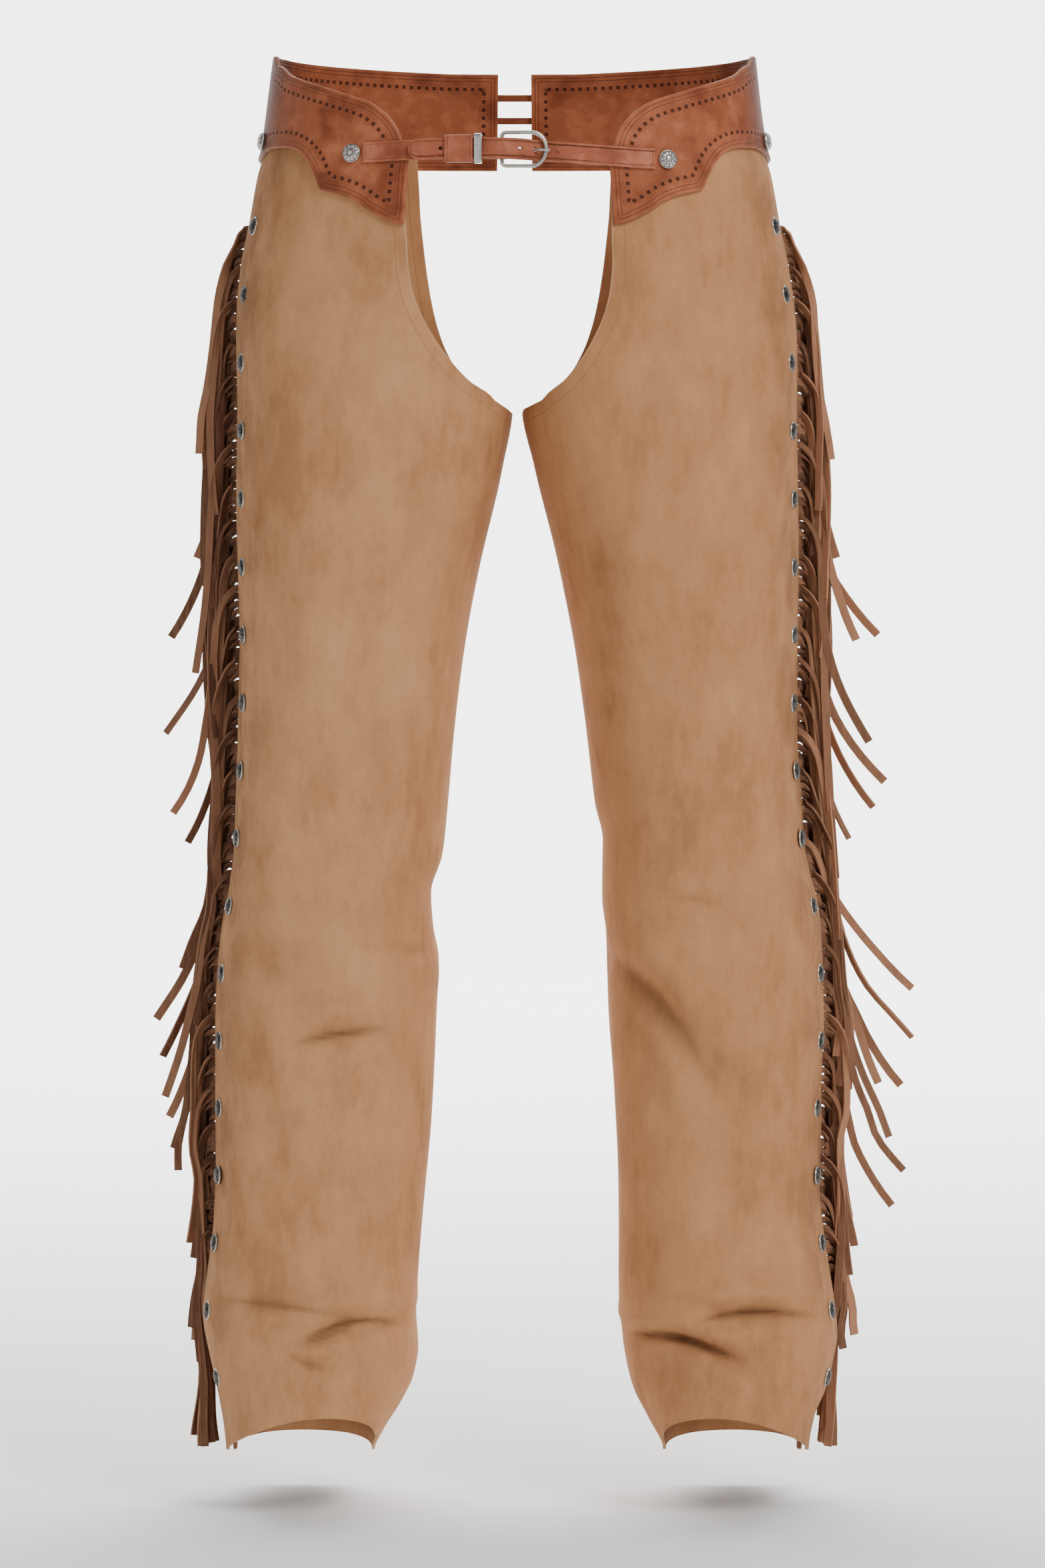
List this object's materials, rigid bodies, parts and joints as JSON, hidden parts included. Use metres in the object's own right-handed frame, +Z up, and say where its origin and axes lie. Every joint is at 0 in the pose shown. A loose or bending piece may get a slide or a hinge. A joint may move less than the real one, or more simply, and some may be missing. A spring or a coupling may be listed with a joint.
{
  "type": "leather chaps",
  "caption": "Western leather chaps in worn hollow form: suede leg tubes, scalloped tooled yokes, fringed and studded outer seams, buckled front strap and laced back.",
  "frame": {"origin": "centre of the waist at the height of the front strap, where the wearer's body holds the garment", "axes": "+Z up along the standing wearer, from the hems to the waist; the front of the garment faces -Y; +X towards the wearer's left"},
  "size_m": [0.5306, 0.2493, 0.9735],
  "materials": {
    "suede": "tan suede, napped",
    "fringe_suede": "dark brown suede",
    "smooth_leather": "chestnut tooled leather, semi-matt",
    "strap_leather": "chestnut strap leather, semi-matt",
    "silver": "antiqued silver plate"
  },
  "bodies": {
    "root": {"right_yoke": "smooth_leather", "right_leg_panel": "suede", "right_fringe": "fringe_suede", "right_front_concho": "silver", "right_hip_concho": "silver", "right_stud_01": "silver", "right_stud_02": "silver", "right_stud_03": "silver", "right_stud_04": "silver", "right_stud_05": "silver", "right_stud_06": "silver", "right_stud_07": "silver", "right_stud_08": "silver", "right_stud_09": "silver", "right_stud_10": "silver", "right_stud_11": "silver", "right_stud_12": "silver", "right_stud_13": "silver", "right_stud_14": "silver", "right_stud_15": "silver", "right_stud_16": "silver", "right_stud_17": "silver", "right_stud_18": "silver", "left_yoke": "smooth_leather", "left_leg_panel": "suede", "left_fringe": "fringe_suede", "left_front_concho": "silver", "left_hip_concho": "silver", "left_stud_01": "silver", "left_stud_02": "silver", "left_stud_03": "silver", "left_stud_04": "silver", "left_stud_05": "silver", "left_stud_06": "silver", "left_stud_07": "silver", "left_stud_08": "silver", "left_stud_09": "silver", "left_stud_10": "silver", "left_stud_11": "silver", "left_stud_12": "silver", "left_stud_13": "silver", "left_stud_14": "silver", "left_stud_15": "silver", "left_stud_16": "silver", "left_stud_17": "silver", "left_stud_18": "silver", "chape_strap": "strap_leather", "billet_strap": "strap_leather", "leather_keeper": "strap_leather", "metal_keeper": "silver", "buckle_frame": "silver", "buckle_tongue": "silver", "back_lace": "strap_leather"}
  },
  "joints": []
}
